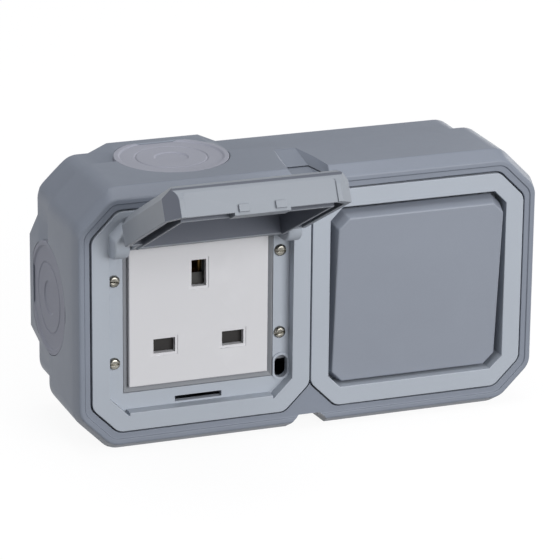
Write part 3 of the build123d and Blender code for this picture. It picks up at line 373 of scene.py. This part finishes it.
screw_metal = plated_metal("plated screw", (0.34, 0.33, 0.295), (0.10, 0.094, 0.082), 0.26, 4200.0)
contact_brass = plated_metal("contact brass", (0.55, 0.36, 0.13), (0.22, 0.12, 0.05), 0.34, 2600.0)
spring_steel = plated_metal("spring steel", (0.60, 0.60, 0.61), (0.35, 0.35, 0.37), 0.24, 3800.0)
print("metals:", [material.name for material in (screw_metal, contact_brass, spring_steel)])

# %% [markdown]
# ## Moulded edges
# A mould can't make a perfectly sharp edge, and it is the thin highlight on the small radius that makes
# plastic look real. A shader can fake that highlight, but the meshes are a result too, so the radius is
# modelled. The mouldings keep the assembly's exact shape: each one is copied, its loose
# triangles are joined into clean faces, and the edges that show are picked by their place and by how
# sharply they fold. Only those get a bevel weight, so a bevel of a few tenths of a millimetre goes round
# them and leaves the hidden edges alone. Weighted normals then keep the flat faces flat.
#
# One face of a mesh can't surround a hole. So a flat face that is pierced, such as the floor round the
# socket's plate, is first cut by planes through the middle of its holes. The cuts are marked as seams,
# and the joining of triangles stops at them.

# %% Finding flat faces with holes
FLAT_ANGLE = radians(0.4)
FLAT = cos(FLAT_ANGLE)


def joined_groups(links):
    """Sets of things that links join, where links is a list of pairs."""
    neighbours = {}
    for a, b in links:
        neighbours.setdefault(a, set()).add(b)
        neighbours.setdefault(b, set()).add(a)
    groups = []
    while neighbours:
        waiting = [next(iter(neighbours))]
        group = set()
        while waiting:
            item = waiting.pop()
            if item in neighbours:
                group.add(item)
                waiting.extend(neighbours.pop(item))
        groups.append(group)
    return groups


def pierced_faces(mesh):
    """For each flat face with holes: its normal, a point on it, and the middle of each hole."""
    faces_of_edge = {}
    for face in mesh.polygons:
        for edge in face.edge_keys:
            faces_of_edge.setdefault(edge, []).append(face.index)
    flat_pairs = [(face.index, face.index) for face in mesh.polygons]
    for faces in faces_of_edge.values():
        if len(faces) == 2 and mesh.polygons[faces[0]].normal.dot(mesh.polygons[faces[1]].normal) > FLAT:
            flat_pairs.append(tuple(faces))
    found = []
    for group in joined_groups(flat_pairs):
        rim = [edge for face in group for edge in mesh.polygons[face].edge_keys
               if len(group.intersection(faces_of_edge[edge])) == 1]
        loops = []
        for loop in joined_groups(rim):
            places = [mesh.vertices[vertex].co for vertex in loop]
            low = Vector([min(place[axis] for place in places) for axis in range(3)])
            high = Vector([max(place[axis] for place in places) for axis in range(3)])
            loops.append(((high - low).length, (high + low) / 2))
        if len(loops) > 1:
            face = mesh.polygons[next(iter(group))]
            loops.sort(key=lambda loop: loop[0])
            found.append((face.normal.copy(), face.center.copy(), [middle for size, middle in loops[:-1]]))
    return found


# %% Joining triangles into clean faces
SAME_PLACE = 0.002 * MM
SAME_PLANE = 0.01 * MM
NEAR_CUT = 0.2 * MM


def clean_faces(piece):
    """Joins the loose triangles of a piece into clean flat faces, and returns how many were pierced."""
    edit(piece)
    bpy.ops.mesh.remove_doubles(threshold=SAME_PLACE)
    leave_edit()
    pierced = pierced_faces(piece.data)
    edit(piece, everything=False)
    for normal, place, holes in pierced:
        across = Vector((1, 0, 0)) if abs(normal.x) < 0.5 else Vector((0, 0, 1))
        cuts = []
        for hole in holes:
            if any(abs((hole - cut).dot(across)) < NEAR_CUT for cut in cuts):
                continue
            cuts.append(hole)
            bpy.ops.mesh.select_all(action="DESELECT")
            mesh = bmesh.from_edit_mesh(piece.data)
            for face in mesh.faces:
                level_with = abs((face.calc_center_median() - place).dot(normal)) < SAME_PLANE
                face.select_set(level_with and face.normal.dot(normal) > FLAT)
            bmesh.update_edit_mesh(piece.data)
            bpy.ops.mesh.bisect(plane_co=hole, plane_no=across)
            bpy.ops.mesh.mark_seam(clear=False)
    bpy.ops.mesh.select_all(action="SELECT")
    bpy.ops.mesh.dissolve_limited(angle_limit=FLAT_ANGLE, delimit={"SEAM"})
    leave_edit()
    return len(pierced)


# %% Copying a piece


def copy_of(node):
    """A copy of one piece of the assembly, as a piece of its own that is free to change."""
    select_only(frame["nodes"][node])
    bpy.ops.object.duplicate()
    piece = bpy.context.active_object
    bpy.ops.object.parent_clear(type="CLEAR_KEEP_TRANSFORM")
    piece.name = node + "_dressed"
    del piece["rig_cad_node"]
    bpy.ops.mesh.customdata_custom_splitnormals_clear()
    return piece


# %% Choosing the edges to round


def weigh_edges(piece, where, sharp, share):
    """Gives a bevel weight to the edges that fold by more than an angle and lie where a test says.

    The operator adds to the weight that an edge has, so that is taken off first.
    """
    edit(piece, everything=False)
    bpy.ops.mesh.select_mode(type="EDGE")
    mesh = bmesh.from_edit_mesh(piece.data)
    for edge in mesh.edges:
        folded = len(edge.link_faces) == 2 and edge.calc_face_angle() > radians(sharp)
        middle = (edge.verts[0].co + edge.verts[1].co) / 2 / MM
        place = Vector((middle.x, -middle.y, middle.z))
        edge.select_set(folded and where(place, [face.normal for face in edge.link_faces]))
    bmesh.update_edit_mesh(piece.data)
    bpy.ops.transform.edge_bevelweight(value=-1.0)
    bpy.ops.transform.edge_bevelweight(value=share)
    bpy.ops.mesh.select_mode(type="VERT")
    leave_edit()


# %% Dressing a moulding
BEVELLED_SHARP = 28.0
SHADED_SHARP = 33.0
BEVEL_STEPS = 3


def dress(node, material, rounds, sharp=BEVELLED_SHARP):
    """Copies a piece, rounds its edges and gives it a finish.

    rounds lists pairs of a radius in mm and a test on the middle of an edge, as x, height above the wall
    and z in mm, and on the normals of its two faces. A later pair overrides an earlier one.
    """
    piece = copy_of(node)
    pierced = clean_faces(piece)
    widest = max(radius for radius, where in rounds)
    for radius, where in rounds:
        weigh_edges(piece, where, sharp, radius / widest)
    bevel = piece.modifiers.new("moulded edge", "BEVEL")
    bevel.width = widest * MM
    bevel.segments = BEVEL_STEPS
    bevel.limit_method = "WEIGHT"
    bevel.use_clamp_overlap = False
    bevel.miter_outer = "MITER_ARC"
    bpy.ops.object.modifier_apply(modifier=bevel.name)
    bpy.ops.object.shade_smooth_by_angle(angle=radians(SHADED_SHARP))
    level_faces = piece.modifiers.new("level faces", "WEIGHTED_NORMAL")
    level_faces.keep_sharp = True
    bpy.ops.object.modifier_apply(modifier=level_faces.name)
    piece.data.materials.clear()
    piece.data.materials.append(material)
    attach(piece, body_of_node[node])
    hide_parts(node)
    print(piece.name, "has", len(piece.data.polygons), "faces; pierced faces that were cut:", pierced)
    return piece


# %% [markdown]
# ## Which edges are rounded
# Each moulding has its own edges that a hand or an eye would find: the outer shell and the lip of the box,
# the front of the frames, the shoulders of the hinge. A short test names each of them by where the middle
# of an edge lies. Most tests only ask how far the edge stands from the wall, so one function makes those.

# %% Tests by height above the wall
box_low, box_high = (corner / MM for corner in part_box("back_box"))
lid_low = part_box("socket_lid")[0] / MM
front = -box_low.y
FACE_DEPTH = 0.6
SHOULDER_RISE = 0.2
ROCKER_DEPTH = 8.0
PLATE_DEPTH = 4.2
LID_EDGE_DEPTH = 12.0


def higher_than(height):
    """A test that is true for an edge further from the wall than a height in mm."""
    return lambda place, normals: place.y > height


def everywhere(place, normals):
    """True for every edge."""
    return True


along_front = higher_than(front - FACE_DEPTH)
hinge_shoulder = higher_than(front + SHOULDER_RISE)
rocker_face = higher_than(front - ROCKER_DEPTH)
plate_face = higher_than(front - PLATE_DEPTH)
lid_far_edge = higher_than(-lid_low.y - LID_EDGE_DEPTH)
print("front of the box in mm:", round(front, 1), "free edge of the lid:", round(-lid_low.y, 1))

# %% Tests of the box and the plate
plate_low, plate_high = (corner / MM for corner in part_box("socket_plate"))
CHANNEL_HALF = 12.0
BAND_HEIGHT = 20.0
BAND_MARGIN = 0.6
END_WALL_REACH = 3.4
LONG_WALL_REACH = 5.2
TURNED_IN = -0.02
PLATE_MARGIN = 4.0


def outside_of_box(place, normals):
    """True on the outer shell of the box, away from the channels between its halves and from its band."""
    at_end = min(place.x - box_low.x, box_high.x - place.x) < END_WALL_REACH
    near_outside = at_end or box_high.z - abs(place.z) < LONG_WALL_REACH
    outward = Vector((place.x / box_high.x, 0, place.z / box_high.z))
    faces_out = all(normal.dot(outward) > TURNED_IN for normal in normals)
    at_band = abs(place.y - BAND_HEIGHT) < BAND_MARGIN
    in_channel = abs(place.x) <= CHANNEL_HALF
    return (near_outside and faces_out or along_front(place, normals)) and not in_channel and not at_band


def lip_of_box(place, normals):
    """True at the lip round the two frames, which is softly rounded."""
    return along_front(place, normals) and abs(place.x) > CHANNEL_HALF


def in_plate_slots(place, normals):
    """True at the raised borders of the three slots, away from the plate's outline."""
    return min(place.x - plate_low.x, plate_high.x - place.x) > PLATE_MARGIN


# %% The box and its frames
dress("back_box", box_plastic, [(0.5, outside_of_box), (0.3, lip_of_box)])
dress("socket_frame", frame_plastic, [(0.22, along_front), (0.6, hinge_shoulder)])
dress("switch_frame", frame_plastic, [(0.25, along_front)])

# %% The lid, the rocker, the plate and the membranes
MEMBRANE_SHARP = 20.0
# The lid's finish is the frame's plastic with painted shade: it is darker all over.
lid = dress("socket_lid", lid_painted_shade_plastic, [(0.2, everywhere), (0.1, lid_far_edge)])
dress("rocker_cap", rocker_plastic, [(0.45, rocker_face)])
dress("socket_plate", plate_plastic, [(0.12, plate_face), (0.04, in_plate_slots)])
dress("shutter", shutter_plastic, [(0.1, everywhere)])
for grommet in ("top_entry_grommet", "side_entry_grommet"):
    dress(grommet, entry_rubber, [(0.15, everywhere)], sharp=MEMBRANE_SHARP)

# %% [markdown]
# ## The inside of the lid
# The pan inside the lid is smoother than the grained outside, and its colour is made darker than the lid's:
# painted shade for the shade that falls inside the lid. It gets a finish of its own. The pan could be cut
# off as a piece of its own, but a second material on the same mesh leaves the lid whole. Its faces are found
# in the lid's own directions: how far they reach from the hinge, how high they stand over its rim, and how
# far to the side.

# %% A darker pan, with painted shade
LID_RISE = radians(27.5)
PAN_START, PAN_END = 3.6, 54.2
PAN_RIM, PAN_TOP = -3.0, 5.8
PAN_HALF = 27.7

pin_low, pin_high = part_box("hinge_pins")
hinge = (pin_low + pin_high) / 2
lid_reach_way = Vector((0, -cos(LID_RISE), sin(LID_RISE)))
lid_lift_way = Vector((0, sin(LID_RISE), cos(LID_RISE)))
# The second material paints the shade inside the lid's pan as a darker colour.
lid.data.materials.append(lid_pan_painted_shade_plastic)
painted_shade_faces = 0
for face in lid.data.polygons:
    from_hinge = (face.center - hinge) / MM
    reach = from_hinge.dot(lid_reach_way)
    lift = from_hinge.dot(lid_lift_way)
    if PAN_START < reach < PAN_END and PAN_RIM < lift < PAN_TOP and abs(from_hinge.x) < PAN_HALF:
        face.material_index = 1
        painted_shade_faces += 1
print("faces inside the lid:", painted_shade_faces)

# %% [markdown]
# ## Screws
# The frames are held by small screws with domed, slotted heads. The assembly has them at their true
# size with plain heads. A bump could fake the slot, but the meshes are a result too, so it is cut. Each
# screw is modelled as it is turned: a blank, a shank drawn out behind it, a dome rolled on it by a bevel,
# and a slot sawn across by a boolean. No two slots in one frame stand the same way, so each head is sawn at
# its own turn.

# %% Where each screw sits


def separate_solids(node):
    """Lowest and highest corner, in mm, of each separate solid of a node."""
    mesh = frame["nodes"][node].data
    links = []
    for face in mesh.polygons:
        places = [mesh.vertices[index].co for index in face.vertices]
        corners = [tuple(round(value / MM, 2) for value in place) for place in places]
        links.extend(zip(corners, corners[1:] + corners[:1]))
    solids = []
    for group in joined_groups(links):
        low = Vector([min(corner[axis] for corner in group) for axis in range(3)])
        high = Vector([max(corner[axis] for corner in group) for axis in range(3)])
        solids.append((low, high))
    return sorted(solids, key=lambda solid: (round(solid[0].x), round(solid[0].z)))


screws = separate_solids("socket_frame_screws")
print("screws, middle in x and z:", [[round(v, 1) for v in ((low + high) / 2).xz] for low, high in screws])

# %% One screw
HEAD_HEIGHT = 1.1
SLOT_WIDTH = 0.7
SLOT_DEPTH = 0.75
SHANK_SHARE = 0.5
HEAD_SIDES = 36
DOME_SHARE = 0.8
DOME_STEPS = 6
EDGE_BREAK = 0.05
BROKEN_SHARP = 40.0
HEAD_SHADED_SHARP = 35.0


def turned_screw(name, low, high, slot_turn):
    """A screw that fills the given box in mm, with its head towards the viewer."""
    radius = (high.x - low.x) / 2
    length = high.y - low.y
    bpy.ops.object.select_all(action="DESELECT")
    bpy.ops.mesh.primitive_cylinder_add(vertices=HEAD_SIDES, radius=radius * MM, depth=HEAD_HEIGHT * MM,
                                        location=(0, 0, -HEAD_HEIGHT / 2 * MM))
    screw = bpy.context.active_object
    screw.name = name
    bpy.ops.object.transform_apply(location=True)
    edit(screw, everything=False)
    mesh = bmesh.from_edit_mesh(screw.data)
    for face in mesh.faces:
        face.select_set(face.normal.z < -0.5)
    bmesh.update_edit_mesh(screw.data)
    bpy.ops.mesh.inset(thickness=radius * (1 - SHANK_SHARE) * MM)
    bpy.ops.mesh.extrude_region_move(TRANSFORM_OT_translate={"value": (0, 0, -(length - HEAD_HEIGHT) * MM)})
    bpy.ops.mesh.select_all(action="DESELECT")
    mesh = bmesh.from_edit_mesh(screw.data)
    for edge in mesh.edges:
        edge.select_set(all(vertex.co.z > -SAME_PLANE for vertex in edge.verts))
    bmesh.update_edit_mesh(screw.data)
    bpy.ops.mesh.bevel(offset=HEAD_HEIGHT * DOME_SHARE * MM, segments=DOME_STEPS, profile=0.5,
                       affect="EDGES")
    leave_edit()
    bpy.ops.mesh.primitive_cube_add(size=1.0)
    saw = bpy.context.active_object
    saw.scale = (3 * radius * MM, SLOT_WIDTH * MM, 2 * SLOT_DEPTH * MM)
    saw.rotation_euler.z = slot_turn
    select_only(screw)
    slot = screw.modifiers.new("slot", "BOOLEAN")
    slot.operation = "DIFFERENCE"
    slot.object = saw
    bpy.ops.object.modifier_apply(modifier=slot.name)
    bpy.data.objects.remove(saw)
    select_only(screw)
    edge_break = screw.modifiers.new("edge break", "BEVEL")
    edge_break.width = EDGE_BREAK * MM
    edge_break.angle_limit = radians(BROKEN_SHARP)
    edge_break.segments = 2
    edge_break.harden_normals = True
    bpy.ops.object.modifier_apply(modifier=edge_break.name)
    bpy.ops.object.shade_smooth_by_angle(angle=radians(HEAD_SHADED_SHARP))
    middle = (low + high) / 2
    screw.location = (middle.x * MM, low.y * MM, middle.z * MM)
    screw.rotation_euler = (pi / 2, 0, 0)
    bpy.ops.object.transform_apply(location=True, rotation=True, scale=True)
    screw.data.materials.append(screw_metal)
    return screw


# %% Four screws in each frame
SLOT_TURNS = (0.05, -0.12, 0.2, 0.0)
for node in ("socket_frame_screws", "switch_frame_screws"):
    for number, (low, high) in enumerate(separate_solids(node)):
        screw = turned_screw(node + "_" + str(number + 1), low, high, SLOT_TURNS[number])
        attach(screw, body_of_node[node])
        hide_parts(node)
    print(node, "turned:", number + 1)

# %% [markdown]
# ## Finishes for what stays as it is
# The inner pieces already have their final shape. They could get rounded edges too, but they hardly show
# between the frames and through the slots, so they only get a finish.

# %% Finishes on the assembly's own pieces
finishes = {
    "socket_carrier": border_plastic, "socket_frame_seal": seal_rubber, "switch_frame_seal": seal_rubber,
    "lid_seal": seal_rubber,
    "socket_base": inside_plastic, "switch_base": inside_plastic, "rocker_cradle": inside_plastic,
    "plunger": inside_plastic, "switch_carrier": carrier_plastic,
    "plunger_spring": spring_steel, "hinge_pins": spring_steel,
    "socket_terminal_screws": spring_steel, "switch_terminal_screws": spring_steel,
    "line_contact": contact_brass, "neutral_contact": contact_brass, "earth_contact": contact_brass,
    "contact_rocker": contact_brass, "common_contact": contact_brass,
    "upper_fixed_contact": contact_brass, "lower_fixed_contact": contact_brass,
}
for node, material in finishes.items():
    mesh = frame["nodes"][node].data
    mesh.materials.clear()
    mesh.materials.append(material)
print("finished in place:", len(finishes))

# %% [markdown]
# ## The shutter's spring
# The spring under the shutter is pressed together as the shutter slides down. A stiff spring would reach
# into the shutter there. The copy here is a piece of its own, in spring steel, with a mesh of its own,
# and rides on the spring's body; it keeps its length.

# %% The shutter's spring
spring = copy_of("shutter_spring")
spring.data.materials.clear()
spring.data.materials.append(spring_steel)
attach(spring, body_of_node["shutter_spring"])
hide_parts("shutter_spring")
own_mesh(spring)

# %% [markdown]
# ## The camera
# The photograph was taken with a long lens from the left and from above, about 1.1 m away. The camera
# is put at that place in the assembly's own frame. It looks along an azimuth and a pitch, and is rolled
# by a little over half a degree.

# %% Camera
CAMERA_PLACE = Vector((-371.1, -1001.1, 356.9)) * MM
CAMERA_AZIMUTH = 20.74
CAMERA_PITCH = 18.9
CAMERA_ROLL = 0.61
FOCAL_IN_PIXELS = 3513.8
PHOTO_WIDTH = 560
SENSOR_WIDTH = 36.0

bpy.ops.object.camera_add(location=CAMERA_PLACE)
camera = bpy.context.active_object
camera.data.sensor_width = SENSOR_WIDTH
camera.data.lens = SENSOR_WIDTH * (FOCAL_IN_PIXELS / PHOTO_WIDTH)
camera.data.clip_start = 0.05
camera.data.clip_end = 20.0
turn = (Matrix.Rotation(radians(-CAMERA_AZIMUTH), 4, "Z")
        @ Matrix.Rotation(radians(90 - CAMERA_PITCH), 4, "X")
        @ Matrix.Rotation(radians(CAMERA_ROLL), 4, "Z"))
camera.matrix_world = Matrix.Translation(CAMERA_PLACE) @ turn
bpy.context.scene.camera = camera
print("lens in mm:", round(camera.data.lens, 1))

# %% [markdown]
# ## The studio
# The picture is a cut-out on white, lit by large soft boxes. The floor is white to the camera and keeps
# a faint contact shadow. Large area lamps stand in front, above, to the left and at the right behind,
# where the rear one isn't mirrored in the top wall. A weak even world fills the shadows.

# %% Floor
FLOOR_SIZE = 12.0
FLOOR_GREY = (0.10, 0.10, 0.102, 1)
FLOOR_GLOW = 0.92
bpy.ops.mesh.primitive_plane_add(size=FLOOR_SIZE, location=(0, 0, cad_box[0].z))
floor = bpy.context.active_object
floor.name = "studio_floor"
floor_material = bpy.data.materials.new("studio floor")
floor_material.use_nodes = True
floor_tree = floor_material.node_tree
floor_tree.nodes.clear()
floor_out = add_node(floor_tree, "ShaderNodeOutputMaterial")
floor_matt = add_node(floor_tree, "ShaderNodeBsdfDiffuse", sockets={"Color": FLOOR_GREY})
floor_glow = add_node(floor_tree, "ShaderNodeEmission", sockets={"Color": (1, 1, 1, 1)})
seen = add_node(floor_tree, "ShaderNodeLightPath")
seen_or_mirrored = add_node(floor_tree, "ShaderNodeMath", operation="MAXIMUM")
floor_tree.links.new(seen.outputs["Is Camera Ray"], seen_or_mirrored.inputs[0])
floor_tree.links.new(seen.outputs["Is Glossy Ray"], seen_or_mirrored.inputs[1])
glow_level = add_node(floor_tree, "ShaderNodeMath", operation="MULTIPLY", sockets={1: FLOOR_GLOW})
floor_tree.links.new(seen_or_mirrored.outputs[0], glow_level.inputs[0])
floor_tree.links.new(glow_level.outputs[0], floor_glow.inputs["Strength"])
floor_sum = add_node(floor_tree, "ShaderNodeAddShader")
floor_tree.links.new(floor_matt.outputs[0], floor_sum.inputs[0])
floor_tree.links.new(floor_glow.outputs[0], floor_sum.inputs[1])
floor_tree.links.new(floor_sum.outputs[0], floor_out.inputs["Surface"])
floor.data.materials.append(floor_material)
print("floor at height in mm:", round(cad_box[0].z / MM, 1))

# %% World
WORLD_FILL = 0.36
world = bpy.data.worlds.new("studio world")
bpy.context.scene.world = world
world.use_nodes = True
world_tree = world.node_tree
background = world_tree.nodes["Background"]
background.inputs["Color"].default_value = (1.0, 1.0, 1.0, 1.0)
world_seen = add_node(world_tree, "ShaderNodeLightPath")
world_white = add_node(world_tree, "ShaderNodeMath", operation="MAXIMUM")
world_tree.links.new(world_seen.outputs["Is Camera Ray"], world_white.inputs[0])
world_tree.links.new(world_seen.outputs["Is Transmission Ray"], world_white.inputs[1])
world_level = add_node(world_tree, "ShaderNodeMapRange", sockets={"To Min": WORLD_FILL, "To Max": 1.0})
world_tree.links.new(world_white.outputs[0], world_level.inputs["Value"])
world_tree.links.new(world_level.outputs["Result"], background.inputs["Strength"])
print("world fill:", WORLD_FILL)

# %% Lamps
LAMP_TARGET = Vector((0, -0.03, 0))


def soft_box(name, place, size, power, colour=(1.0, 1.0, 1.0)):
    """Square area lamp at a place in metres, turned towards the middle of the object."""
    bpy.ops.object.light_add(type="AREA", location=place)
    lamp = bpy.context.active_object
    lamp.name = name
    lamp.data.size = size
    lamp.data.energy = power
    lamp.data.color = colour
    lamp.rotation_mode = "QUATERNION"
    lamp.rotation_quaternion = (LAMP_TARGET - Vector(place)).to_track_quat("-Z", "Y")


soft_box("front_box", (0.45, -1.62, 0.45), 1.2, 27.0)
soft_box("top_box", (0.1, -0.1, 1.5), 1.0, 8.0)
soft_box("left_box", (-1.5, 0.15, 0.02), 0.9, 8.6, (0.93, 0.95, 1.0))
soft_box("rear_box", (1.3, 1.1, 0.15), 1.2, 9.0)
bpy.context.scene.view_settings.view_transform = "Standard"

# %% [markdown]
# ## Last step
# At the end nothing is left selected.

# %% Nothing left selected
bpy.ops.object.select_all(action="DESELECT")
